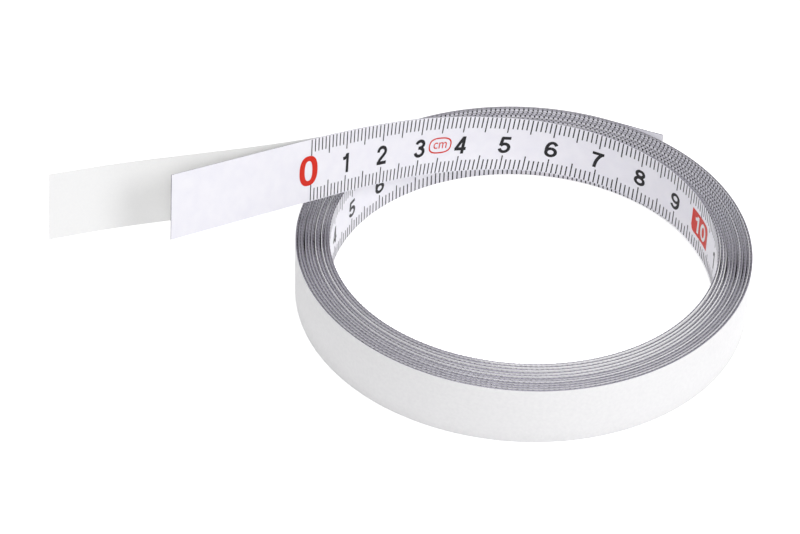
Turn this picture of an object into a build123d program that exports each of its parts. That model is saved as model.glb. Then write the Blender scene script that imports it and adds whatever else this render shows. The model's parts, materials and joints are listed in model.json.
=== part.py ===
"""Caseless self-adhesive steel measuring tape, wound in a coil, zero end lifted out.

Millimetres, +Z up. The origin is the centre of the coil on the surface it lies on.
The tape is a laminate: a printed steel blade, an adhesive layer and a release liner.
Its free ends flex, so each is a chain of short links hinged along the tape's cross lines.
"""
import math
import os

from build123d import *

# Tape laminate
TAPE_WIDTH = 13.0
BLADE_THICKNESS = 0.12
ADHESIVE_THICKNESS = 0.05
LINER_THICKNESS = 0.05

# Coil
BORE_RADIUS = 38.8
TURN_PITCH = 0.65
TURN_COUNT = 10.874
COIL_RISE = 0.9
FLAT_HALF_TURNS = 3
INNER_END_ANGLE = 19.3

# Lead: the zero end, which curls through the bore and passes over the rim
LEAD_LENGTH = 139.0
LEAD_LINKS = 10
LEAD_CURL_DEPTH = 6.0
LEAD_CURL_ANGLE = 23.0
LEAD_RELAX_ANGLE = 151.0
LEAD_TWIST = 28.8
LEAD_CLIMB_LINKS = 5
LEAD_RIM_CLEARANCE = 0.5
PEELED_LINKS = 3

# Liner tail: the release liner peeled off the back of the lead
TAIL_LENGTH = 61.0
TAIL_LINKS = 4
TAIL_PEEL_ANGLE = 10.0
TAIL_OPEN_BEND = 8.7
TAIL_BACK_BEND = 10.4

# Outer end of the tape, lifted a little off the last turn
END_LENGTH = 10.5
END_LIFT_ANGLE = 4.0

# Gap between two links at their hinge line
HINGE_GAP = 0.3

# Bounds of the searches and tests, in millimetres, degrees and steps
RIM_MARGIN = 1.0
STEEPEST_CLIMB = 40.0
CLIMB_HALVINGS = 40
STRAIGHT_BEND = 0.01
ANGLE_TOLERANCE = 1e-6
RIM_STEPS = 8
GAP_STEPS = 24

# Derived sizes
ADHESIVE_START = BLADE_THICKNESS
LINER_START = ADHESIVE_START + ADHESIVE_THICKNESS
LAMINATE = LINER_START + LINER_THICKNESS
HALF_WIDTH = TAPE_WIDTH / 2
LINK_LENGTH = LEAD_LENGTH / LEAD_LINKS
LINED_LINKS = LEAD_LINKS - PEELED_LINKS
RIM_OUTER_RADIUS = BORE_RADIUS + TURN_PITCH * TURN_COUNT + LAMINATE
UP = Vector(0, 0, 1)

LAYERS = {
    "blade": (0.0, ADHESIVE_START),
    "adhesive": (ADHESIVE_START, LINER_START),
    "liner": (LINER_START, LAMINATE),
}


def turned(vector, axis, degrees):
    """A vector turned about an axis by the right-hand rule."""
    return vector.rotate(Axis((0, 0, 0), axis), degrees)


class Station:
    """A cross line of the tape: its middle, the way the tape runs on and the cross line's direction."""

    def __init__(self, point, run, cross):
        self.point = point
        self.run = run
        self.cross = cross

    def plane(self):
        return Plane(origin=self.point, x_dir=self.run, z_dir=self.cross)

    def climbed(self, degrees):
        """The tape pitched upwards along its own face."""
        normal = self.run.cross(self.cross)
        return Station(self.point, turned(self.run, normal, degrees), turned(self.cross, normal, degrees))

    def twisted(self, degrees):
        """The tape leaned outwards about its own run."""
        return Station(self.point, self.run, turned(self.cross, self.run, degrees))

    def bent(self, degrees):
        """The tape turned about its cross line, inwards when positive."""
        return Station(self.point, turned(self.run, self.cross, degrees), self.cross)

    def shifted(self, along):
        return Station(self.point + self.run * along, self.run, self.cross)

    def after(self, length, bend):
        """The station at the end of a link of this length, bent evenly by this many degrees."""
        half = math.radians(bend) / 2
        chord = length * (math.sin(half) / half if half else 1.0)
        middle = self.bent(bend / 2)
        return Station(self.point + middle.run * chord, self.bent(bend).run, self.cross)


def band_face(path, layer):
    """Face between two offsets of a path; path(fraction, offset) gives points in a plane."""
    near, far = layer
    edges = [
        ThreePointArc(path(0, near), path(0.5, near), path(1, near)),
        Line(path(1, near), path(1, far)),
        ThreePointArc(path(1, far), path(0.5, far), path(0, far)),
        Line(path(0, far), path(0, near)),
    ]
    return make_face(edges)


def straight_face(length, layer, side):
    """Face of a straight link, clear of its hinge lines by half the gap."""
    near, far = layer
    start, end = HINGE_GAP / 2, length - HINGE_GAP / 2
    corners = [(start, side * near), (end, side * near), (end, side * far), (start, side * far)]
    return make_face(Polyline(*corners, close=True))


def link(station, length, bend, layer, side=-1):
    """One layer of a rigid link that starts at a station, bent evenly along its length."""
    if abs(bend) < STRAIGHT_BEND:
        face = straight_face(length, layer, side)
    else:
        turn = math.radians(bend)
        radius = length / turn
        margin = HINGE_GAP / 2 / length

        def path(fraction, offset):
            angle = turn * (margin + fraction * (1 - 2 * margin))
            reach = radius - side * offset
            return (reach * math.sin(angle), radius - reach * math.cos(angle))

        face = band_face(path, layer)
    return station.plane() * extrude(face, amount=HALF_WIDTH, both=True)


def half_turns():
    """The coil's arcs from its inner end: centre, radius, start angle and sweep in degrees."""
    direction = Vector(1, 0, 0).rotate(Axis.Z, INNER_END_ANGLE)
    arcs = []
    total = 360.0 * TURN_COUNT
    swept = 0.0
    while swept < total - ANGLE_TOLERANCE:
        index = len(arcs)
        shift = TURN_PITCH / 4 * (1 if index % 2 else -1)
        radius = BORE_RADIUS + TURN_PITCH / 4 + index * TURN_PITCH / 2
        sweep = min(180.0, total - swept)
        arcs.append((direction * shift, radius, INNER_END_ANGLE - swept, sweep))
        swept += sweep
    return arcs


def arc_rise(index, count):
    """Height of a half turn's lower edge: the inner turns stand proud, the last turn lies flat."""
    climbing = count - FLAT_HALF_TURNS
    return COIL_RISE * max(0.0, 1 - index / climbing)


def coil_point(arc, fraction, offset):
    centre, radius, start, sweep = arc
    angle = math.radians(start - sweep * fraction)
    reach = radius + offset
    return (centre.X + reach * math.cos(angle), centre.Y + reach * math.sin(angle))


def coil(layer):
    """One layer of the winding: one unbroken band made of half turns."""
    arcs = half_turns()
    turns = []
    for index, arc in enumerate(arcs):
        face = band_face(lambda fraction, offset: coil_point(arc, fraction, offset), layer)
        turns.append(Pos(0, 0, arc_rise(index, len(arcs))) * extrude(face, amount=TAPE_WIDTH))
    return turns[0].fuse(*turns[1:])


def winding_gap():
    """Least gap from one turn's outer face to the printed face of the next, on points."""
    places = [(arc, step / GAP_STEPS) for arc in half_turns() for step in range(GAP_STEPS)]
    outer = [coil_point(arc, fraction, LAMINATE) for arc, fraction in places]
    inner = [coil_point(arc, fraction, 0.0) for arc, fraction in places]
    return min(math.dist(a, b) for a, b in zip(outer, inner[2 * GAP_STEPS:]))


def inner_end():
    """Station where the lead leaves the coil, running back against the winding."""
    outwards = Vector(1, 0, 0).rotate(Axis.Z, INNER_END_ANGLE)
    run = outwards.rotate(Axis.Z, 90)
    start = outwards * BORE_RADIUS + UP * (COIL_RISE + HALF_WIDTH)
    return Station(start, run, UP).shifted(HINGE_GAP / 2)


def outer_end():
    """Station where the outer end leaves the coil, running on along the winding."""
    centre, radius, start, sweep = half_turns()[-1]
    outwards = Vector(1, 0, 0).rotate(Axis.Z, start - sweep)
    run = outwards.rotate(Axis.Z, -90)
    point = centre + outwards * radius + UP * HALF_WIDTH
    return Station(point, run, UP).shifted(HINGE_GAP / 2).bent(END_LIFT_ANGLE)


def relaxing(index):
    """How far the lead has relaxed from curled (0) to straight (1) at the middle of a link."""
    angle = math.degrees((index + 0.5) * LINK_LENGTH / BORE_RADIUS)
    return min(1.0, max(0.0, (angle - LEAD_CURL_ANGLE) / LEAD_RELAX_ANGLE))


def lead_bend(index):
    tightest = math.degrees(LINK_LENGTH / (BORE_RADIUS - LEAD_CURL_DEPTH))
    return tightest * (1 + math.cos(math.pi * relaxing(index))) / 2


def lead_twist(index):
    shares = [1 - math.cos(2 * math.pi * relaxing(i)) for i in range(LEAD_LINKS)]
    return LEAD_TWIST * shares[index] / sum(shares)


def lead_stations(climb):
    """Stations where the lead's links start, and the one at its tip, for a total climb in degrees."""
    stations = []
    station = inner_end()
    for index in range(LEAD_LINKS):
        if index < LEAD_CLIMB_LINKS:
            station = station.climbed(climb / LEAD_CLIMB_LINKS)
        station = station.twisted(lead_twist(index))
        stations.append(station)
        station = station.after(LINK_LENGTH, lead_bend(index))
    return stations + [station]


def height_over_rim(climb):
    """Least height of the lead's lower edge above the rim's top, where it crosses the rim."""
    rim_top = TAPE_WIDTH + COIL_RISE
    rim_start = BORE_RADIUS - RIM_MARGIN
    rim_end = RIM_OUTER_RADIUS + RIM_MARGIN
    heights = []
    for index, station in enumerate(lead_stations(climb)[:-1]):
        for step in range(RIM_STEPS):
            share = step / RIM_STEPS
            low = station.after(share * LINK_LENGTH, share * lead_bend(index))
            edge = low.point - low.cross * HALF_WIDTH
            reach = math.hypot(edge.X, edge.Y)
            if index >= LEAD_CLIMB_LINKS and rim_start < reach < rim_end:
                heights.append(edge.Z - rim_top)
    return min(heights)


def lead_climb():
    """Total climb in degrees at which the lead clears the rim by its named clearance."""
    low, high = 0.0, STEEPEST_CLIMB
    for _ in range(CLIMB_HALVINGS):
        middle = (low + high) / 2
        if height_over_rim(middle) < LEAD_RIM_CLEARANCE:
            low = middle
        else:
            high = middle
    return high


def tail_bend(index):
    half = TAIL_LINKS / 2
    return -TAIL_OPEN_BEND / half if index < half else TAIL_BACK_BEND / half


def tail_stations(peel_line):
    """Stations where the tail's links start, from the line where the liner leaves the adhesive."""
    stations = []
    station = peel_line.bent(-TAIL_PEEL_ANGLE)
    for index in range(TAIL_LINKS):
        stations.append(station)
        station = station.after(TAIL_LENGTH / TAIL_LINKS, tail_bend(index))
    return stations


def lead_parts(stations):
    parts = {}
    for index, station in enumerate(stations[:-1]):
        layers = ["blade", "adhesive"] + (["liner"] if index < LINED_LINKS else [])
        for name in layers:
            solid = link(station, LINK_LENGTH, lead_bend(index), LAYERS[name])
            parts[f"{name}_lead_{index + 1}"] = solid
    return parts


def tail_parts(stations):
    parts = {}
    for index, station in enumerate(stations):
        solid = link(station, TAIL_LENGTH / TAIL_LINKS, tail_bend(index), LAYERS["liner"])
        parts[f"liner_tail_{index + 1}"] = solid
    return parts


def end_parts():
    station = outer_end()
    return {f"{name}_end": link(station, END_LENGTH, 0.0, layer, 1) for name, layer in LAYERS.items()}


def coil_parts():
    return {f"{name}_coil": coil(layer) for name, layer in LAYERS.items()}


CLIMB = lead_climb()
LEAD = lead_stations(CLIMB)
TAIL = tail_stations(LEAD[LINED_LINKS])


def main():
    os.makedirs("parts", exist_ok=True)
    parts = coil_parts() | lead_parts(LEAD) | tail_parts(TAIL) | end_parts()
    for name, solid in parts.items():
        export_step(solid, f"parts/{name}.step")
    print(f"winding's least gap to itself: {winding_gap():.3f} mm")
    print(f"lead's climb: {CLIMB:.2f} degrees, over the rim by {height_over_rim(CLIMB):.2f} mm")


if __name__ == "__main__":
    main()
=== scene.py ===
"""A caseless self-adhesive measuring tape: the wound coil, its lifted zero end and the peeled liner."""
import json
import math
from collections import namedtuple
from functools import partial

import bpy
import numpy as np
from mathutils import Matrix, Vector


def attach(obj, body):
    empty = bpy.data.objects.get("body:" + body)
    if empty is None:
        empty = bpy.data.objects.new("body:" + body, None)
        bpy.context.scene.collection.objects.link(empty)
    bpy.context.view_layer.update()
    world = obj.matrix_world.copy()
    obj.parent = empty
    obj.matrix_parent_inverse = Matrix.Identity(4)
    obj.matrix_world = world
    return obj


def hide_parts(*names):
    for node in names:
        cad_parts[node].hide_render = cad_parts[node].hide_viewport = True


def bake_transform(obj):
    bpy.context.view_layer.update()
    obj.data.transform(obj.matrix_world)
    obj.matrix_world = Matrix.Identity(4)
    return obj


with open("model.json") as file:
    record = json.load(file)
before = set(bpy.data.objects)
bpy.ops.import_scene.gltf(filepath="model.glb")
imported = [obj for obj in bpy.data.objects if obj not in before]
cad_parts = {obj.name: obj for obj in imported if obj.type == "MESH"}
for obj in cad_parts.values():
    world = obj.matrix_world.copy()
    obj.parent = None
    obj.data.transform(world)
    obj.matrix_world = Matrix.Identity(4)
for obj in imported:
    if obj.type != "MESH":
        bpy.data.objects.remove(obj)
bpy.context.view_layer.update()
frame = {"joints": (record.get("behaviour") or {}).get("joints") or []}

MM = 0.001
FULL_TURN = 2 * math.pi
LEVEL = (1.0, 1.0, 0.0)
UPWARDS = (0.0, 0.0, 1.0)
WHITE = (1.0, 1.0, 1.0, 1.0)

# Tape: its width, and where each layer starts and ends behind the printed face, free and wound.
# The wound layers are fuller, because they lie pressed together, and thin out as they leave the coil
TAPE_WIDTH = 13.0 * MM
HALF_WIDTH = TAPE_WIDTH / 2
FREE_BLADE = (0.0, 0.12 * MM)
FREE_ADHESIVE = (0.12 * MM, 0.17 * MM)
FREE_LINER = (0.17 * MM, 0.22 * MM)
WOUND_BLADE = (0.0, 0.24 * MM)
WOUND_ADHESIVE = (0.24 * MM, 0.29 * MM)
WOUND_LINER = (0.29 * MM, 0.42 * MM)
THINNING = 5.0 * MM
STRIP_STEP = 0.5 * MM
SHARP_ANGLE = math.radians(40)
Layer = namedtuple("Layer", "name slot free wound faces")
NEAR_SLOT, FAR_SLOT, EDGE_SLOT = range(3)

# Wound turns, counted clockwise from the inner end. The inner ones stand proud at the front, and at
# the back each one stands a step higher than the one inside it
TURN_COUNT = 10.8755
TURN_PITCH = 0.653 * MM
STEPS_PER_TURN = 300
FRONT_AT_TURN = 0.3036
COIL_RISE = 0.9 * MM
CLIMBING_TURNS = 5.0
BACK_STEP = 0.03 * MM
TURN_UNEVENNESS = 0.05 * MM
TURN_LOOSENESS = 0.08 * MM
UNEVEN_WAVES = (2.35, 6.0)
RIM_RADII = (38.8 * MM, 46.0 * MM)
# Side of the coil, front right, towards which the liner's slit edges are painted white as light
PAINTED_LIGHT_SIDE = (0.64, -0.77, 0.0)

# Slit edges: their rounding as a share of the layer's thickness, and the tilt at which a face is an edge
EDGE_ROUNDNESS = 0.42
EDGE_SEGMENTS = 2
EDGE_TILT = 0.2

# Free ends
LEAD_LENGTH = 139.0 * MM
LEAD_LINKS = 10
LINED_LINKS = 7
TAIL_LENGTH = 61.0 * MM
TAIL_LINKS = 4
TAIL_LAST_BEND = math.radians(5.2)
END_LENGTH = 10.5 * MM
END_LIFT = math.radians(4.0)

# Printed scale: its place where the coil starts, the mark where the innermost turn is covered, the last
# mark, and how far the print creeps on between two distances along the coil. The slack, in millimetres,
# puts a mark that lies on a cut between two pieces on one side of it
SCALE_AT_COIL = 100.0 * MM
INNERMOST_MARKS = 344
LAST_MARK = 2989
SCALE_CREEP = 3.8 * MM
CREEP_BETWEEN = (15.0 * MM, 135.0 * MM)
CUT_SLACK_IN_MM = 0.01
INK_LIFT = 0.02 * MM
OVERPRINT_LIFT = 0.04 * MM

# Marks: their lengths, short and long, and their ends as rows of places across the edge and lifts
LINE_WIDTH = 0.26 * MM
PRINT_MARGIN = 0.12 * MM
TOP_MARKS = (2.6 * MM, 3.6 * MM)
BOTTOM_MARKS = (2.5 * MM, 3.5 * MM)
LONG_MARK_EVERY = 5
MARK_END_WIDTH = 0.36 * MM
MARK_END = np.array([(-0.12, 0.02), (-0.0155, -0.0155), (0.005, -0.06), (0.01, -0.12)]) * MM

# Numerals and signs; the stroke, the slimness and the spacing are shares of a numeral's height
NUMERAL_HEIGHT = 4.1 * MM
NUMERAL_RAISE = -0.25 * MM
NUMERAL_STROKE = 0.175
NUMERAL_SLIMNESS = 0.66
ZERO_SIZE = (5.2 * MM, 6.2 * MM)
ZERO_STROKE = (1.5 * MM, 1.05 * MM)
ZERO_SHIFT = -0.8 * MM
ZERO_SQUARENESS = 2.4
DECIMETRE_BOX = (7.8 * MM, 5.7 * MM)
BOX_ROUNDING = 1.3 * MM
BOX_NUMERAL_HEIGHT = 4.1 * MM
BOX_NUMERAL_SPACING = 0.72
UNIT_OVAL = (5.5 * MM, 3.7 * MM)
UNIT_OVAL_LINE = 0.3 * MM
UNIT_OVAL_SQUARENESS = 2.7
UNIT_LETTERS_SIZE = (3.2 * MM, 1.45 * MM)
UNIT_MARK_AT = 35.0 * MM

# Finishes: the depth of their bumps, and the values that a noise keeps between for the most part
BUMP_DEPTH = 0.01 * MM
NOISE_SPAN = (0.3, 0.7)
INK_GLOSS = 0.15

# Stage: lights in metres and watts, and the camera's angles in radians and its lens in millimetres
AMBIENT = 0.39
FLOOR_REACH = 3.0
FLOOR_GREY = (0.9, 0.9, 0.9, 1.0)
FLOOR_ROUGHNESS = 0.9
FLOOR_GLOW = 0.6
Lamp = namedtuple("Lamp", "name place size power")
LAMPS = (
    Lamp("key_lamp", (0.6, -0.25, 0.45), 0.5, 2.1),
    Lamp("fill_lamp", (-0.05, -0.7, 0.5), 0.4, 1.8),
    Lamp("top_lamp", (0.0, 0.1, 0.9), 0.45, 2.0),
)
LAMP_TARGET = (0, 0, 0)
CAMERA_PITCH = 0.676
CAMERA_ROLL = 0.031
CAMERA_OFFSET = (0.024727, -0.004892, 0.610951)
CAMERA_LENS = 135.0
CAMERA_SENSOR = 36.0
CAMERA_CLIP = 0.01


# Tape lines


def hinge_line(name, sign=1):
    """Middle and direction of a hinge's cross line, from the frame."""
    hinge = next(j for j in frame["joints"] if j["name"] == name)
    return np.array(hinge["pos_m"]), np.array(hinge["axis"]) * sign


def unit(vectors):
    return vectors / np.linalg.norm(vectors, axis=-1, keepdims=True)


class TapeLine:
    """Smooth line along the middle of the printed face, through given cross lines of the tape."""

    samples = 24

    def __init__(self, points, crosses, length, first_run, last_run):
        points = np.array(points)
        slopes = np.empty_like(points)
        slopes[1:-1] = (points[2:] - points[:-2]) / 2
        slopes[0] = first_run * np.linalg.norm(points[1] - points[0])
        slopes[-1] = last_run * np.linalg.norm(points[-1] - points[-2])
        share = np.linspace(0, 1, self.samples, endpoint=False)[:, None]
        along, across = [], []
        for k in range(len(points) - 1):
            along.append(self.hermite(share, points[k : k + 2], slopes[k : k + 2]))
            across.append(crosses[k] * (1 - share) + crosses[k + 1] * share)
        self.points = np.vstack(along + [points[-1:]])
        runs = unit(np.gradient(self.points, axis=0))
        crosses = np.vstack(across + [np.array(crosses[-1:])])
        crosses = unit(crosses - runs * np.sum(crosses * runs, axis=1, keepdims=True))
        self.crosses = crosses
        self.backs = np.cross(runs, crosses)
        steps = np.linalg.norm(np.diff(self.points, axis=0), axis=1)
        self.distances = np.concatenate([[0], np.cumsum(steps)]) * length / steps.sum()

    @staticmethod
    def hermite(t, points, slopes):
        t2, t3 = t * t, t * t * t
        value = (2 * t3 - 3 * t2 + 1) * points[0] + (3 * t2 - 2 * t3) * points[1]
        return value + (t3 - 2 * t2 + t) * slopes[0] + (t3 - t2) * slopes[1]

    def read(self, distances, values):
        return np.stack([np.interp(distances, self.distances, values[:, i]) for i in range(3)], axis=1)

    def place(self, distances, across, lift):
        """Points at distances along the line, across it and lifted off the printed face."""
        middle = self.read(distances, self.points)
        cross = self.read(distances, self.crosses)
        back = self.read(distances, self.backs)
        return middle + cross * np.reshape(across, (-1, 1)) - back * np.reshape(lift, (-1, 1))

    def middles(self, *distances):
        """Points at distances along the line, on the middle of the printed face."""
        return self.read(distances, self.points)


class CoilLine:
    """Spiral line along the middle of the wound tape's printed face, from its inner end."""

    def __init__(self, start):
        self.angle = math.atan2(start[1], start[0])
        self.radius = math.hypot(start[0], start[1])

    def turns(self, distances):
        """Turns up to a printed place. The print creeps on at the front, where a real turn is drawn in."""
        crept = distances + np.interp(distances, CREEP_BETWEEN, (0.0, SCALE_CREEP))
        root = np.sqrt(self.radius**2 + TURN_PITCH * crept / math.pi)
        return (root - self.radius) / TURN_PITCH

    def rise(self, turns):
        """Height of the lower edge: proud inner turns in front, steps behind, and a little unevenness."""
        swell = sum(np.sin(wave * turns) for wave in UNEVEN_WAVES) + len(UNEVEN_WAVES)
        sinking = COIL_RISE * np.maximum(0, 1 - turns / CLIMBING_TURNS)
        in_front = (np.cos(FULL_TURN * np.maximum(turns - FRONT_AT_TURN, 0.0)) + 1) ** 2 / 4
        behind = BACK_STEP * turns * (1 - in_front)
        return sinking * in_front + (TURN_UNEVENNESS * swell + behind) * self.fade(turns)

    @staticmethod
    def fade(turns):
        """Share of the unevenness, which fades out over the first and the last turn."""
        return np.clip(np.minimum(turns, TURN_COUNT - turns), 0.0, 1.0)

    def place(self, distances, across, lift):
        """Points at printed places along the line, across it and lifted off the printed face."""
        turns = self.turns(distances)
        angle = self.angle - FULL_TURN * turns
        looseness_and_painted_light = TURN_LOOSENESS * np.sin(UNEVEN_WAVES[0] * turns) * self.fade(turns)
        radius = self.radius + TURN_PITCH * turns + looseness_and_painted_light - lift
        height = HALF_WIDTH + self.rise(turns) + across
        return np.stack([radius * np.cos(angle), radius * np.sin(angle), height], axis=1)


def lead_line():
    """Line of the zero end, from the coil's inner wall to its tip, with its twist shared out evenly."""
    lines = [hinge_line(f"lead_hinge_{k + 1}") for k in range(LEAD_LINKS)]
    points = [point for point, _ in lines]
    points.append(2 * points[-1] - points[-2])
    own = [np.array(UPWARDS)] + [cross for _, cross in lines]
    crosses = [a + b for a, b in zip(own, own[1:])] + [2 * own[-1]]
    outwards = unit(points[0] * LEVEL)
    run = np.array([-outwards[1], outwards[0], 0])
    return TapeLine(points, crosses, LEAD_LENGTH, run, unit(points[-1] - points[-2]))


def tail_line():
    """Line of the peeled liner, from where it leaves the adhesive to its end."""
    lines = [hinge_line(f"tail_hinge_{k + 1}", -1) for k in range(TAIL_LINKS)]
    points = [point for point, _ in lines]
    crosses = [cross for _, cross in lines] + [lines[-1][1]]
    last = points[-1] - points[-2]
    inwards = np.cross(crosses[-1], last)
    points.append(points[-1] + last * math.cos(TAIL_LAST_BEND) + inwards * math.sin(TAIL_LAST_BEND))
    first_run = unit(2 * points[1] - 2 * points[0] - (points[2] - points[0]) / 2)
    return TapeLine(points, crosses, TAIL_LENGTH, first_run, unit(points[-1] - points[-2]))


def end_line():
    """Line of the tape's outer end, which lifts off the last turn; it runs against the lead."""
    start, up = hinge_line("outer_end_hinge")
    outwards = unit(start * LEVEL)
    run = np.array([outwards[1], -outwards[0], 0])
    lifted = run * math.cos(END_LIFT) + outwards * math.sin(END_LIFT)
    points = [start, start + lifted * END_LENGTH]
    return TapeLine(points, [-up, -up], END_LENGTH, lifted, lifted)


# Nodes


def put(tree, value, into):
    """Links a node's output to an input, or sets the input to a plain value."""
    if isinstance(value, bpy.types.NodeSocket):
        tree.links.new(value, into)
    elif value is not None:
        into.default_value = value


def new_node(tree, kind, mode=None, **inputs):
    """First output of a new node with these inputs, whose spaces are written as underscores."""
    node = tree.nodes.new(kind)
    if mode:
        node.mode = mode
    for name, value in inputs.items():
        put(tree, value, node.inputs[name.replace("_", " ")])
    return node.outputs[0]


def math_node(tree, operation, *values):
    node = tree.nodes.new("ShaderNodeMath")
    node.operation = operation
    for value, into in zip(values, node.inputs):
        put(tree, value, into)
    return node.outputs[0]


def vector_node(tree, operation, first, second=None):
    """A vector operation, which gives a vector or a number."""
    node = tree.nodes.new("ShaderNodeVectorMath")
    node.operation = operation
    put(tree, first, node.inputs[0])
    put(tree, second, node.inputs["Scale" if operation == "SCALE" else 1])
    return node.outputs["Value" if operation in ("DOT_PRODUCT", "LENGTH") else "Vector"]


def combined(tree, **axes):
    return new_node(tree, "ShaderNodeCombineXYZ", **axes)


# Materials


class Finish:
    """A principled material with its textures on object coordinates."""

    def __init__(self, name, roughness, metallic=0.0):
        self.material = bpy.data.materials.new(name)
        self.material.use_nodes = True
        self.tree = self.material.node_tree
        self.shader = self.tree.nodes["Principled BSDF"].inputs
        self.shader["Roughness"].default_value = roughness
        self.shader["Metallic"].default_value = metallic
        self.place = self.tree.nodes.new("ShaderNodeTexCoord").outputs["Object"]

    def noise(self, scale, detail=3.0, vector=None):
        place = vector or self.place
        return new_node(self.tree, "ShaderNodeTexNoise", Scale=scale, Detail=detail, Vector=place)

    def reach(self):
        """Distance from the coil's axis."""
        return vector_node(self.tree, "LENGTH", vector_node(self.tree, "MULTIPLY", self.place, LEVEL))

    def turn_noise(self, scale):
        """Noise that changes from one turn of the coil to the next."""
        return self.noise(scale, 2.0, combined(self.tree, X=self.reach()))

    def towards(self, direction):
        """Distance from the coil's axis in one direction."""
        return vector_node(self.tree, "DOT_PRODUCT", self.place, direction)

    def mixed(self, first, second):
        return new_node(self.tree, "ShaderNodeMix", A=first, B=second)

    def spread(self, value, low, high, span=NOISE_SPAN):
        """A value that goes from low to high as another one runs over a span."""
        ends = {"From_Min": span[0], "From_Max": span[1], "To_Min": low, "To_Max": high}
        return new_node(self.tree, "ShaderNodeMapRange", Value=value, **ends)

    def colour(self, value, low, high, span=NOISE_SPAN):
        ramp = self.tree.nodes.new("ShaderNodeValToRGB")
        for stop, position, colour in zip(ramp.color_ramp.elements, span, (low, high)):
            stop.position = position
            stop.color = (*colour, 1.0)
        put(self.tree, value, ramp.inputs["Fac"])
        put(self.tree, ramp.outputs["Color"], self.shader["Base Color"])

    def roughness(self, value, low, high):
        put(self.tree, self.spread(value, low, high), self.shader["Roughness"])

    def bump(self, value, strength):
        bumps = {"Strength": strength, "Distance": BUMP_DEPTH, "Height": value}
        put(self.tree, new_node(self.tree, "ShaderNodeBump", **bumps), self.shader["Normal"])


def white_enamel():
    finish = Finish("white_enamel", roughness=0.35)
    finish.colour(finish.noise(scale=350), low=(0.88, 0.87, 0.94), high=(0.92, 0.91, 0.965))
    finish.roughness(finish.noise(scale=1200), low=0.28, high=0.42)
    finish.bump(finish.noise(scale=4000, detail=2.0), strength=0.12)
    return finish.material


def cut_steel_edge():
    """Slit edge of the blade: grey steel, with streaks that follow the turns."""
    finish = Finish("cut_steel_edge", roughness=0.4, metallic=0.85)
    streaks = finish.mixed(finish.turn_noise(scale=2100), finish.noise(scale=900, detail=5.0))
    finish.colour(streaks, low=(0.10, 0.094, 0.125), high=(0.36, 0.34, 0.41))
    finish.roughness(finish.noise(scale=2500), low=0.3, high=0.45)
    finish.bump(finish.noise(scale=6000, detail=2.0), strength=0.2)
    return finish.material


def film_edge():
    """Slit edge of the adhesive film, painted dark grey as the shade in the groove between the blade and
    the liner.
    """
    finish = Finish("film_edge", roughness=0.6)
    finish.colour(finish.noise(scale=1500), low=(0.10, 0.095, 0.12), high=(0.20, 0.19, 0.23))
    finish.roughness(finish.noise(scale=900), low=0.5, high=0.7)
    return finish.material


def paper_edge():
    """Slit edge of the liner: white paper painted dark grey as the shade between the turns, and painted
    white as light on the inner turns towards the front right and on some turns at random.
    """
    finish = Finish("paper_edge", roughness=0.6)
    inside = finish.spread(finish.reach(), low=1.0, high=0.0, span=RIM_RADII)
    on_painted_light_side = finish.spread(finish.towards(PAINTED_LIGHT_SIDE), low=0.0, high=1.0, span=(0.0, RIM_RADII[0]))
    looseness_and_painted_light = math_node(finish.tree, "MULTIPLY", inside, on_painted_light_side)
    painted_light_and_shade = math_node(finish.tree, "MAXIMUM", looseness_and_painted_light, finish.turn_noise(scale=1700))
    # Painted shade: dark grey between the turns; painted light: white on the inner turns towards the front
    # right
    finish.colour(painted_light_and_shade, low=(0.36, 0.35, 0.41), high=(0.98, 0.975, 0.985), span=(0.5, 0.6))
    finish.roughness(finish.noise(scale=900), low=0.5, high=0.7)
    return finish.material


def tacky_film():
    finish = Finish("tacky_film", roughness=0.25)
    finish.colour(finish.noise(scale=220), low=(0.72, 0.715, 0.69), high=(0.80, 0.795, 0.775))
    finish.roughness(finish.noise(scale=900), low=0.16, high=0.34)
    finish.bump(finish.noise(scale=1600, detail=4.0), strength=0.12)
    return finish.material


def liner_paper():
    finish = Finish("liner_paper", roughness=0.45)
    fibres = finish.noise(scale=1500, detail=6.0)
    finish.colour(fibres, low=(0.84, 0.835, 0.85), high=(0.885, 0.88, 0.89))
    finish.roughness(finish.noise(scale=700), low=0.36, high=0.5)
    finish.bump(fibres, strength=0.15)
    return finish.material


def siliconised_face():
    """Release side of the liner, smoother and whiter than its back."""
    finish = Finish("siliconised_face", roughness=0.42)
    finish.colour(finish.noise(scale=2500), low=(0.87, 0.87, 0.875), high=(0.89, 0.89, 0.89))
    finish.roughness(finish.noise(scale=1500), low=0.38, high=0.46)
    finish.bump(finish.noise(scale=3000, detail=4.0), strength=0.05)
    return finish.material


def printing_ink(name, thin, full):
    finish = Finish(name, roughness=0.4)
    finish.shader["Specular IOR Level"].default_value = INK_GLOSS
    finish.colour(finish.noise(scale=1800, detail=4.0), thin, full)
    finish.roughness(finish.noise(scale=900), low=0.32, high=0.48)
    return finish.material


# Meshes


def new_piece(name, vertices, faces, materials, slots=None):
    """A mesh object at the origin, smooth along the tape and sharp at its edges."""
    mesh = bpy.data.meshes.new(name)
    mesh.from_pydata([tuple(v) for v in vertices], [], faces)
    for material in materials:
        mesh.materials.append(material)
    if slots is not None:
        mesh.polygons.foreach_set("material_index", slots)
    finish_mesh(mesh)
    piece = bpy.data.objects.new(name, mesh)
    bpy.context.scene.collection.objects.link(piece)
    return piece


def finish_mesh(mesh):
    mesh.polygons.foreach_set("use_smooth", [True] * len(mesh.polygons))
    mesh.set_sharp_from_angle(angle=SHARP_ANGLE)
    mesh.update()


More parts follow.
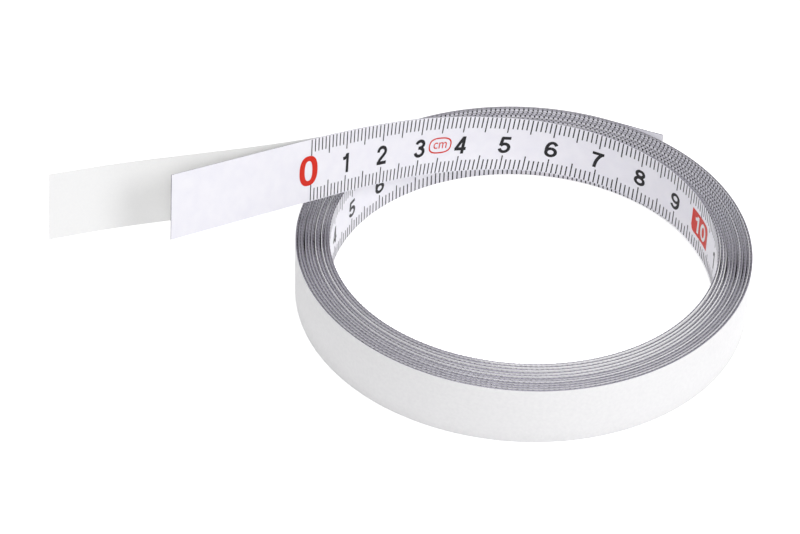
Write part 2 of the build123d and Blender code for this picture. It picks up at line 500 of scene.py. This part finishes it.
class Sheaf:
    """Vertices, faces and material slots that are gathered into one piece."""

    def __init__(self):
        self.vertices, self.faces, self.slots = [], [], []

    def add(self, vertices, faces, slots):
        first = len(self.vertices)
        self.vertices.extend(vertices)
        self.faces.extend([tuple(i + first for i in face) for face in faces])
        self.slots.extend(slots)

    def strip(self, line, start, end, free, wound):
        """One layer along a line, as full as the wound one where it leaves the coil: near, far, edges."""
        count = max(2, math.ceil((end - start) / STRIP_STEP) + 1)
        distances = np.linspace(start, end, count)
        thinned = np.minimum(distances / THINNING, 1.0)
        near, far = (w + (f - w) * thinned for w, f in zip(wound, free))
        corners = [(-HALF_WIDTH, near), (HALF_WIDTH, near), (HALF_WIDTH, far), (-HALF_WIDTH, far)]
        rails = [line.place(distances, np.full(count, across), -depth) for across, depth in corners]
        vertices = np.stack(rails, axis=1).reshape(-1, 3)
        faces, slots = [(3, 2, 1, 0)], [EDGE_SLOT]
        for k in range(0, 4 * (count - 1), 4):
            for side in range(4):
                a, b = k + side, k + (side + 1) % 4
                faces.append((a, b, b + 4, a + 4) if side < 2 else (b, b + 4, a + 4, a))
                slots.append((NEAR_SLOT, EDGE_SLOT, FAR_SLOT, EDGE_SLOT)[side])
        last = 4 * (count - 1)
        faces.append((last, last + 1, last + 2, last + 3))
        slots.append(EDGE_SLOT)
        self.add(vertices, faces, slots)

    def piece(self, name, materials):
        return new_piece(name, self.vertices, self.faces, materials, self.slots)


# Geometry node trees


def start_tree(name, numbers, counts, materials):
    """A tree with named inputs of three kinds, and those inputs by name."""
    tree = bpy.data.node_groups.new(name, "GeometryNodeTree")
    tree.interface.new_socket("Geometry", in_out="OUTPUT", socket_type="NodeSocketGeometry")
    for kind, inputs in (("Float", numbers), ("Int", counts), ("Material", materials)):
        for given in inputs:
            tree.interface.new_socket(given, in_out="INPUT", socket_type=f"NodeSocket{kind}")
    return tree, tree.nodes.new("NodeGroupInput").outputs


def end_tree(tree, geometry):
    tree.links.new(geometry, tree.nodes.new("NodeGroupOutput").inputs["Geometry"])
    return tree


def wound_rise(tree, given, turn, fade, long_wave):
    """Height of the lower edge of each turn, as CoilLine.rise has it."""
    reckon = partial(math_node, tree)
    sunk = reckon("DIVIDE", turn, given["Climbing turns"])
    share = reckon("MAXIMUM", reckon("SUBTRACT", 1.0, sunk), 0.0)
    past_front = reckon("MAXIMUM", reckon("SUBTRACT", turn, given["Front at turn"]), 0.0)
    facing = reckon("COSINE", reckon("MULTIPLY", past_front, FULL_TURN))
    halved = reckon("MULTIPLY_ADD", facing, 0.5, 0.5)
    in_front = reckon("MULTIPLY", halved, halved)
    proud = reckon("MULTIPLY", reckon("MULTIPLY", share, given["Rise"]), in_front)
    steps = reckon("MULTIPLY", turn, given["Back step"])
    behind = reckon("MULTIPLY", steps, reckon("SUBTRACT", 1.0, in_front))
    short_wave = reckon("SINE", reckon("MULTIPLY", turn, given["Short wave"]))
    swell = reckon("ADD", reckon("ADD", long_wave, short_wave), 2.0)
    raised = reckon("MULTIPLY_ADD", swell, given["Unevenness"], behind)
    return reckon("ADD", proud, reckon("MULTIPLY", raised, fade))


def wound_shift(tree, given):
    """How far each point of a flat spiral moves, outwards and up."""
    reckon = partial(math_node, tree)
    turn = reckon("DIVIDE", new_node(tree, "GeometryNodeInputIndex"), given["Steps per turn"])
    nearest_end = reckon("MINIMUM", turn, reckon("SUBTRACT", given["Turns"], turn))
    fade = reckon("MINIMUM", nearest_end, 1.0)
    long_wave = reckon("SINE", reckon("MULTIPLY", turn, given["Long wave"]))
    rise = wound_rise(tree, given, turn, fade, long_wave)
    height = reckon("ADD", rise, reckon("MULTIPLY", given["Width"], 0.5))
    looseness_and_painted_light = reckon("MULTIPLY", reckon("MULTIPLY", long_wave, given["Looseness"]), fade)
    outwards = vector_node(tree, "NORMALIZE", new_node(tree, "GeometryNodeInputPosition"))
    pushed = vector_node(tree, "SCALE", outwards, looseness_and_painted_light)
    return vector_node(tree, "ADD", pushed, combined(tree, Z=height))


def wound_line(tree, given):
    """The spiral that the tape is wound along, with its uneven turns."""
    growth = math_node(tree, "MULTIPLY", given["Turns"], given["Turn pitch"])
    spiral = new_node(
        tree,
        "GeometryNodeCurveSpiral",
        Resolution=given["Steps per turn"],
        Rotations=given["Turns"],
        Start_Radius=given["Bore radius"],
        End_Radius=math_node(tree, "ADD", growth, given["Bore radius"]),
        Height=0.0,
        Reverse=False,
    )
    shift = wound_shift(tree, given)
    moved = new_node(tree, "GeometryNodeSetPosition", Geometry=spiral, Offset=shift)
    start = combined(tree, Z=given["Start angle"])
    turned = new_node(tree, "GeometryNodeTransform", Geometry=moved, Rotation=start)
    return new_node(tree, "GeometryNodeSetCurveNormal", "Z_UP", Curve=turned)


def wound_profile(tree, given):
    """Cross-section of a layer: a thin upright box with rounded edges."""
    thickness = math_node(tree, "SUBTRACT", given["Layer end"], given["Layer start"])
    both = math_node(tree, "ADD", given["Layer end"], given["Layer start"])
    middle = combined(tree, X=math_node(tree, "MULTIPLY", both, -0.5))
    radius = math_node(tree, "MULTIPLY", thickness, given["Roundness"])
    box = {"Width": thickness, "Height": given["Width"]}
    outline = new_node(tree, "GeometryNodeCurvePrimitiveQuadrilateral", **box)
    rounding = {"Count": EDGE_SEGMENTS, "Radius": radius}
    rounded = new_node(tree, "GeometryNodeFilletCurve", "POLY", Curve=outline, **rounding)
    return new_node(tree, "GeometryNodeTransform", Geometry=rounded, Translation=middle)


def on_slit_edge(tree):
    """Whether a face looks up or down more than towards the coil's axis."""
    normal = new_node(tree, "GeometryNodeInputNormal")
    level = vector_node(tree, "MULTIPLY", new_node(tree, "GeometryNodeInputPosition"), LEVEL)
    facing_out = vector_node(tree, "DOT_PRODUCT", vector_node(tree, "NORMALIZE", level), normal)
    facing_in = math_node(tree, "MINIMUM", facing_out, 0.0)
    facing_up = math_node(tree, "ABSOLUTE", vector_node(tree, "DOT_PRODUCT", normal, UPWARDS))
    return math_node(tree, "GREATER_THAN", math_node(tree, "ADD", facing_up, facing_in), EDGE_TILT)


def wound_strip_tree():
    """One layer of the coil: its rounded profile swept along the uneven turns."""
    coil = ("Turns", "Bore radius", "Turn pitch", "Start angle")
    strip = ("Width", "Layer start", "Layer end", "Roundness")
    heights = ("Rise", "Climbing turns", "Front at turn", "Back step")
    waves = ("Unevenness", "Looseness", "Long wave", "Short wave")
    numbers = coil + strip + heights + waves
    tree, given = start_tree("wound_strip", numbers, ("Steps per turn",), ("Face", "Edge"))
    swept = new_node(
        tree,
        "GeometryNodeCurveToMesh",
        Curve=wound_line(tree, given),
        Profile_Curve=wound_profile(tree, given),
        Fill_Caps=True,
    )
    solid = new_node(tree, "GeometryNodeRealizeInstances", Geometry=swept)
    faced = new_node(tree, "GeometryNodeSetMaterial", Geometry=solid, Material=given["Face"])
    edge = {"Selection": on_slit_edge(tree), "Material": given["Edge"]}
    return end_tree(tree, new_node(tree, "GeometryNodeSetMaterial", Geometry=faced, **edge))


def graduation_tree():
    """A row of marks along one edge of the flat tape, some of them longer."""
    numbers = ("Spacing", "Line width", "Short mark", "Long mark", "Edge height")
    tree, given = start_tree("graduations", numbers, ("Marks", "First mark"), ("Ink",))
    reckon = partial(math_node, tree)
    mark = reckon("ADD", new_node(tree, "GeometryNodeInputIndex"), given["First mark"])
    is_long = reckon("LESS_THAN", reckon("FLOORED_MODULO", mark, LONG_MARK_EVERY), 0.5)
    extra = reckon("SUBTRACT", given["Long mark"], given["Short mark"])
    length = reckon("MULTIPLY_ADD", extra, is_long, given["Short mark"])
    side = reckon("SIGN", given["Edge height"])
    inset = reckon("MULTIPLY", reckon("MULTIPLY", length, -0.5), side)
    height = reckon("ADD", inset, given["Edge height"])
    first_place = reckon("MULTIPLY", given["First mark"], given["Spacing"])
    step = combined(tree, X=given["Spacing"])
    row = new_node(tree, "GeometryNodeMeshLine", Count=given["Marks"], Offset=step)
    shift = combined(tree, X=first_place, Y=height)
    places = new_node(tree, "GeometryNodeSetPosition", Geometry=row, Offset=shift)
    stroke = new_node(tree, "GeometryNodeMeshGrid", Vertices_X=2, Vertices_Y=2)
    size = combined(tree, X=given["Line width"], Y=length)
    marks = new_node(tree, "GeometryNodeInstanceOnPoints", Points=places, Instance=stroke, Scale=size)
    solid = new_node(tree, "GeometryNodeRealizeInstances", Geometry=marks)
    return end_tree(tree, new_node(tree, "GeometryNodeSetMaterial", Geometry=solid, Material=given["Ink"]))


def grown(tree, **values):
    """The plain mesh that a tree makes with these inputs, whose spaces are written as underscores."""
    holder = bpy.data.objects.new(tree.name, bpy.data.meshes.new(tree.name))
    bpy.context.scene.collection.objects.link(holder)
    modifier = holder.modifiers.new("grow", "NODES")
    modifier.node_group = tree
    for item in tree.interface.items_tree:
        if item.in_out == "INPUT":
            modifier[item.identifier] = values[item.name.replace(" ", "_")]
    state = bpy.context.evaluated_depsgraph_get()
    mesh = bpy.data.meshes.new_from_object(holder.evaluated_get(state))
    bpy.data.objects.remove(holder)
    return mesh


def flat(mesh):
    """Points and faces of a flat mesh."""
    points = np.empty(len(mesh.vertices) * 3)
    mesh.vertices.foreach_get("co", points)
    return points.reshape(-1, 3)[:, :2], [tuple(p.vertices) for p in mesh.polygons]


# Printed scale


def bow(middle, radii, start, end, steps=14):
    """Points on an oval from one angle to another, in degrees."""
    angles = np.radians(np.linspace(start, end, steps))
    return [(middle[0] + radii[0] * math.cos(a), middle[1] + radii[1] * math.sin(a)) for a in angles]


def numeral_strokes():
    """Middle lines of the strokes of each numeral, in a box of height 1."""
    six = [
        bow((0.335, 0.315), (0.245, 0.228), 90, 450, 28),
        bow((0.365, 0.50), (0.275, 0.413), 38, 190, 20),
    ]
    return {
        "0": [bow((0.33, 0.5), (0.242, 0.413), 90, 450, 36)],
        "1": [[(0.42, 0.0), (0.42, 1.0)], [(0.12, 0.745), (0.26, 0.765), (0.35, 0.83), (0.385, 0.96)]],
        "2": [
            bow((0.325, 0.69), (0.235, 0.223), 188, -30) + [(0.36, 0.40), (0.2, 0.25), (0.11, 0.09)],
            [(0.025, 0.083), (0.635, 0.083)],
        ],
        "3": [
            bow((0.325, 0.725), (0.215, 0.188), 172, -85),
            bow((0.325, 0.305), (0.243, 0.218), 85, -172),
            [(0.24, 0.527), (0.36, 0.527)],
        ],
        "4": [[(0.48, 0.0), (0.48, 1.0)], [(0.02, 0.285), (0.66, 0.285)], [(0.075, 0.27), (0.455, 0.95)]],
        "5": [
            [(0.12, 0.915), (0.60, 0.915)],
            [(0.175, 0.96), (0.115, 0.46)],
            bow((0.325, 0.325), (0.245, 0.238), 148, -170, 22),
        ],
        "6": six,
        "7": [[(0.02, 0.912), (0.645, 0.912)], bow((0.83, 0.0), (0.61, 1.02), 118, 180, 12)],
        "8": [
            bow((0.33, 0.735), (0.212, 0.178), 90, 450, 26),
            bow((0.33, 0.292), (0.245, 0.206), 90, 450, 26),
        ],
        "9": [[(NUMERAL_SLIMNESS - x, 1 - y) for x, y in stroke] for stroke in six],
    }


def numeral(strokes):
    """A numeral as a flat mesh of height 1, centred: a ribbon along each of its strokes."""
    points, faces = [], []
    for stroke in strokes:
        line = np.array(stroke)
        runs = unit(np.gradient(line, axis=0))
        sides = np.stack([-runs[:, 1], runs[:, 0]], axis=1) * NUMERAL_STROKE / 2
        first = len(points)
        for left, right in zip(line + sides, line - sides):
            points.extend([left, right])
        for k in range(first, len(points) - 2, 2):
            faces.append((k, k + 1, k + 3, k + 2))
    return np.array(points) - [NUMERAL_SLIMNESS / 2, 0.5], faces


def lettering(text):
    """Letters as a flat mesh of height 1 and width 1, centred."""
    curve = bpy.data.curves.new("lettering", "FONT")
    curve.body = text
    holder = bpy.data.objects.new("lettering", curve)
    bpy.context.scene.collection.objects.link(holder)
    state = bpy.context.evaluated_depsgraph_get()
    points, faces = flat(bpy.data.meshes.new_from_object(holder.evaluated_get(state)))
    bpy.data.objects.remove(holder)
    low, high = points.min(axis=0), points.max(axis=0)
    return (points - (low + high) / 2) / (high - low), faces


def ring(size, stroke, squareness, steps=48):
    """A closed band between two rounded outlines, as on an oval or a nought."""
    angles = np.linspace(0, FULL_TURN, steps, endpoint=False)
    circle = np.stack([np.cos(angles), np.sin(angles)], axis=1)
    outline = np.sign(circle) * np.abs(circle) ** (2 / squareness)
    outer = outline * np.array(size) / 2
    inner = outline * (np.array(size) / 2 - np.array(stroke))
    faces = []
    for k in range(steps):
        n = (k + 1) % steps
        faces.append((k, n, n + steps, k + steps))
    return np.vstack([outer, inner]), faces


def leaf_box(size, rounding, steps=24):
    """A box in narrow columns, with its upper right corner and its lower left one rounded."""
    half = np.array(size) / 2
    across = np.linspace(-half[0], half[0], steps)
    past = np.clip(across - half[0] + rounding, 0, rounding)
    top = half[1] - rounding + np.sqrt(rounding**2 - past**2)
    rails = np.stack([across, top, across, -top[::-1]], axis=1).reshape(-1, 2)
    return rails, [(k + 1, k + 3, k + 2, k) for k in range(0, 2 * steps - 2, 2)]


class Print:
    """Flat marks and numerals on one stretch of the scale in millimetres, with a lift and an ink each."""

    def __init__(self, low, high):
        self.low, self.high = low - CUT_SLACK_IN_MM, high - CUT_SLACK_IN_MM
        self.marks = []

    def add(self, points, faces, ink, lift=INK_LIFT, at=0.0, height=0.0):
        """Keeps the faces whose middles lie on this stretch, so that a numeral can be cut by a hinge."""
        points = points + np.array([at, height])
        kept = [f for f in faces if self.low <= points[list(f), 0].mean() / MM < self.high]
        used = sorted({corner for face in kept for corner in face})
        order = {corner: k for k, corner in enumerate(used)}
        if kept:
            faces = [tuple(order[corner] for corner in face) for face in kept]
            self.marks.append((points[used], faces, ink, lift))

    def graduations(self, first, last):
        """Marks along both edges."""
        for lengths, side in ((TOP_MARKS, 1), (BOTTOM_MARKS, -1)):
            mesh = grown(
                GRADUATIONS,
                Marks=last - first + 1,
                First_mark=first,
                Spacing=MM,
                Line_width=LINE_WIDTH,
                Short_mark=lengths[0],
                Long_mark=lengths[1],
                Edge_height=(HALF_WIDTH - PRINT_MARGIN) * side,
                Ink=BLACK_INK,
            )
            points, faces = flat(mesh)
            self.add(points, faces, BLACK_INK)

    def zero(self):
        points, faces = ring(ZERO_SIZE, ZERO_STROKE, ZERO_SQUARENESS)
        self.add(points, faces, RED_INK, OVERPRINT_LIFT, ZERO_SHIFT)

    def centimetre(self, number):
        """The last digit of the number, in black."""
        at = number * 10 * MM
        points, faces = NUMERALS[str(number % 10)]
        self.add(points * NUMERAL_HEIGHT, faces, BLACK_INK, INK_LIFT, at, NUMERAL_RAISE)

    def decimetre(self, number):
        """A red box with the whole number in white."""
        at = number * 10 * MM
        points, faces = leaf_box(DECIMETRE_BOX, BOX_ROUNDING)
        self.add(points, faces, RED_INK, INK_LIFT, at)
        digits = str(number)
        for place, digit in enumerate(digits):
            points, faces = NUMERALS[digit]
            shift = (place - (len(digits) - 1) / 2) * BOX_NUMERAL_HEIGHT * BOX_NUMERAL_SPACING
            self.add(points * BOX_NUMERAL_HEIGHT, faces, WHITE_INK, OVERPRINT_LIFT, at + shift)

    def unit_mark(self):
        """The unit's letters in a red oval."""
        points, faces = ring(UNIT_OVAL, (UNIT_OVAL_LINE,) * 2, UNIT_OVAL_SQUARENESS)
        self.add(points, faces, RED_INK, INK_LIFT, UNIT_MARK_AT)
        points, faces = UNIT_LETTERS
        self.add(points * UNIT_LETTERS_SIZE, faces, RED_INK, INK_LIFT, UNIT_MARK_AT)

    def laid(self, line, sign, sheaf, first_slot):
        """Adds the marks to a piece, laid along a line that runs up or down the scale."""
        for points, faces, ink, lift in self.marks:
            distances = (points[:, 0] - SCALE_AT_COIL) * sign
            places = line.place(distances, points[:, 1], np.full(len(points), lift))
            sheaf.add(places, faces, [first_slot + INKS.index(ink)] * len(faces))


def scale_between(low, high):
    """The printed scale between two places on it, in millimetres."""
    printed = Print(low, high)
    first = max(0, math.ceil(printed.low))
    last = math.ceil(printed.high) - 1
    if last >= first:
        printed.graduations(first, last)
    for number in range(max(0, math.floor(low / 10)), math.ceil(high / 10) + 1):
        if number == 0:
            printed.zero()
        elif number % 10:
            printed.centimetre(number)
        else:
            printed.decimetre(number)
    printed.unit_mark()
    return printed


# Pieces


def jointed(piece, node):
    """Puts a piece in the place of its solid, which it hides."""
    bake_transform(piece)
    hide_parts(node)


def lead_pieces(line):
    """The zero end, cut at the middle of each link."""
    link = LEAD_LENGTH / LEAD_LINKS
    lined_to = LINED_LINKS * link
    for k in range(1, LEAD_LINKS + 1):
        start = 0.0 if k == 1 else (k - 1.5) * link
        end = LEAD_LENGTH if k == LEAD_LINKS else (k - 0.5) * link
        reach = line.middles(start, (k - 0.5) * link)
        stretches = [(BLADE, end, k), (ADHESIVE, end, k)]
        if start < lined_to:
            stretches.append((LINER, min(end, lined_to), min(k, LINED_LINKS)))
        for layer, last, link_number in stretches:
            sheaf = Sheaf()
            sheaf.strip(line, start, last, layer.free, layer.wound)
            if layer is BLADE:
                printed = scale_between((SCALE_AT_COIL - end) / MM, (SCALE_AT_COIL - start) / MM)
                printed.laid(line, -1, sheaf, len(layer.faces))
            inks = INKS if layer is BLADE else ()
            piece = sheaf.piece(f"lead_{layer.name}_{k}", layer.faces + inks)
            jointed(piece, f"{layer.name}_lead_{link_number}")


def tail_pieces(line):
    """The liner that is peeled off the adhesive, cut as the zero end is."""
    link = TAIL_LENGTH / TAIL_LINKS
    for k in range(1, TAIL_LINKS + 1):
        start = max(0.0, (k - 1.5) * link)
        end = TAIL_LENGTH if k == TAIL_LINKS else (k - 0.5) * link
        reach = line.middles(start, (k - 0.5) * link)
        sheaf = Sheaf()
        sheaf.strip(line, start, end, LINER.free, LINER.free)
        piece = sheaf.piece(f"peeled_liner_{k}", LINER.faces)
        jointed(piece, f"liner_tail_{k}")


def coil_layers(line):
    """The wound turns, layer by layer."""
    tree = wound_strip_tree()
    for layer in LAYERS:
        near, far, edge = layer.faces
        mesh = grown(
            tree,
            Turns=TURN_COUNT,
            Steps_per_turn=STEPS_PER_TURN,
            Bore_radius=line.radius,
            Turn_pitch=TURN_PITCH,
            Start_angle=line.angle,
            Width=TAPE_WIDTH,
            Layer_start=layer.wound[0],
            Layer_end=layer.wound[1],
            Roundness=EDGE_ROUNDNESS,
            Rise=COIL_RISE,
            Climbing_turns=CLIMBING_TURNS,
            Front_at_turn=FRONT_AT_TURN,
            Back_step=BACK_STEP,
            Unevenness=TURN_UNEVENNESS,
            Looseness=TURN_LOOSENESS,
            Long_wave=UNEVEN_WAVES[0],
            Short_wave=UNEVEN_WAVES[1],
            Face=near if layer is BLADE else far,
            Edge=edge,
        )
        finish_mesh(mesh)
        piece = bpy.data.objects.new(f"wound_{layer.name}", mesh)
        bpy.context.scene.collection.objects.link(piece)
        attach(piece, "coil")
        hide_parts(f"{layer.name}_coil")


def coil_scale(line):
    """The scale along the wound turns: whole on the innermost one, and marks alone where it is covered."""
    sheaf = Sheaf()
    covered = Print(INNERMOST_MARKS, LAST_MARK + 1)
    covered.graduations(INNERMOST_MARKS, LAST_MARK)
    for printed in (scale_between(SCALE_AT_COIL / MM, INNERMOST_MARKS), covered):
        printed.laid(line, 1, sheaf, 0)
    mark_ends(line, sheaf)
    scale = sheaf.piece("wound_scale", INKS)
    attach(scale, "coil")


def mark_ends(line, sheaf):
    """Ends of the wound tape's marks, where the ink runs over its rounded slit edges."""
    marks = np.arange(SCALE_AT_COIL / MM + 1, LAST_MARK + 1) * MM - SCALE_AT_COIL
    distances = (marks[:, None] + np.array([-1, 1, 1, -1]) * MARK_END_WIDTH / 2).ravel()
    for side in (1, -1):
        for low, high in zip(MARK_END, MARK_END[1:]):
            corners = np.array((low, low, high, high)[::side])
            across = np.tile((HALF_WIDTH + corners[:, 0]) * side, len(marks))
            places = line.place(distances, across, np.tile(corners[:, 1], len(marks)))
            faces = [(k, k + 1, k + 2, k + 3) for k in range(0, len(places), 4)]
            sheaf.add(places, faces, [INKS.index(BLACK_INK)] * len(faces))


def end_pieces(line):
    """The outer end of the tape, which is blank."""
    reach = line.middles(0.0, END_LENGTH / 2)
    for layer in LAYERS:
        sheaf = Sheaf()
        sheaf.strip(line, 0.0, END_LENGTH, layer.free, layer.wound)
        piece = sheaf.piece(f"outer_end_{layer.name}", layer.faces)
        jointed(piece, f"{layer.name}_end")


# Stage


def seen_directly(tree):
    """One where a camera, glossy or transmission ray arrives, and zero for the light on the object."""
    rays = tree.nodes.new("ShaderNodeLightPath").outputs
    seen = rays["Is Camera Ray"]
    for ray in ("Is Glossy Ray", "Is Transmission Ray"):
        seen = math_node(tree, "MAXIMUM", seen, rays[ray])
    return seen


def white_surroundings():
    world = bpy.data.worlds.new("white_surroundings")
    bpy.context.scene.world = world
    world.use_nodes = True
    tree = world.node_tree
    background = tree.nodes["Background"].inputs
    strength = {"Value": seen_directly(tree), "To_Min": AMBIENT, "To_Max": 1.0}
    put(tree, WHITE, background["Color"])
    put(tree, new_node(tree, "ShaderNodeMapRange", **strength), background["Strength"])


def pale_floor():
    corners = [(-1, -1), (1, -1), (1, 1), (-1, 1)]
    points = [(x * FLOOR_REACH, y * FLOOR_REACH, 0.0) for x, y in corners]
    material = bpy.data.materials.new("pale_floor")
    material.use_nodes = True
    tree = material.node_tree
    shader = tree.nodes["Principled BSDF"].inputs
    put(tree, FLOOR_GREY, shader["Base Color"])
    put(tree, FLOOR_ROUGHNESS, shader["Roughness"])
    put(tree, WHITE, shader["Emission Color"])
    put(tree, math_node(tree, "MULTIPLY", seen_directly(tree), FLOOR_GLOW), shader["Emission Strength"])
    new_piece("floor", points, [(0, 1, 2, 3)], [material])


def soft_lamp(lamp):
    data = bpy.data.lights.new(lamp.name, "AREA")
    data.shape = "DISK"
    data.size = lamp.size
    data.energy = lamp.power
    holder = bpy.data.objects.new(lamp.name, data)
    holder.location = lamp.place
    ahead = Vector(LAMP_TARGET) - Vector(lamp.place)
    holder.rotation_euler = ahead.to_track_quat("-Z", "Y").to_euler()
    bpy.context.scene.collection.objects.link(holder)


def photo_camera():
    """Camera at the photograph's viewing angle, from its pitch, roll and the origin's place before it."""
    right, up = Vector((1, 0, 0)), Vector((0, math.sin(CAMERA_PITCH), math.cos(CAMERA_PITCH)))
    ahead = Vector((0, math.cos(CAMERA_PITCH), -math.sin(CAMERA_PITCH)))
    leaned_right = right * math.cos(CAMERA_ROLL) + up * math.sin(CAMERA_ROLL)
    leaned_up = up * math.cos(CAMERA_ROLL) - right * math.sin(CAMERA_ROLL)
    x, y, z = CAMERA_OFFSET
    place = -leaned_right * x - leaned_up * y - ahead * z
    data = bpy.data.cameras.new("camera")
    data.lens = CAMERA_LENS
    data.sensor_width = CAMERA_SENSOR
    data.clip_start = CAMERA_CLIP
    camera = bpy.data.objects.new("camera", data)
    turn = Matrix((leaned_right, leaned_up, -ahead)).transposed().to_4x4()
    camera.matrix_world = Matrix.Translation(place) @ turn
    bpy.context.scene.collection.objects.link(camera)
    bpy.context.scene.camera = camera


ENAMEL = white_enamel()
STEEL_EDGE = cut_steel_edge()
FILM = tacky_film()
FILM_EDGE = film_edge()
PAPER = liner_paper()
RELEASE = siliconised_face()
PAPER_EDGE = paper_edge()
BLACK_INK = printing_ink("black_ink", (0.022, 0.022, 0.025), (0.012, 0.012, 0.014))
RED_INK = printing_ink("red_ink", (0.72, 0.030, 0.014), (0.66, 0.022, 0.010))
WHITE_INK = printing_ink("white_ink", (0.86, 0.86, 0.87), (0.90, 0.90, 0.91))
INKS = (BLACK_INK, RED_INK, WHITE_INK)
BLADE = Layer("blade", "enamelled_steel", FREE_BLADE, WOUND_BLADE, (ENAMEL, STEEL_EDGE, STEEL_EDGE))
ADHESIVE = Layer("adhesive", "adhesive", FREE_ADHESIVE, WOUND_ADHESIVE, (FILM, FILM, FILM_EDGE))
LINER = Layer("liner", "release_liner", FREE_LINER, WOUND_LINER, (RELEASE, PAPER, PAPER_EDGE))
LAYERS = (BLADE, ADHESIVE, LINER)
GRADUATIONS = graduation_tree()
NUMERALS = {digit: numeral(strokes) for digit, strokes in numeral_strokes().items()}
UNIT_LETTERS = lettering("cm")

lead_pieces(lead_line())
tail_pieces(tail_line())
coil_line = CoilLine(hinge_line("lead_hinge_1")[0])
coil_layers(coil_line)
coil_scale(coil_line)
end_pieces(end_line())

white_surroundings()
pale_floor()
for lamp in LAMPS:
    soft_lamp(lamp)
photo_camera()
bpy.context.scene.view_settings.view_transform = "Standard"
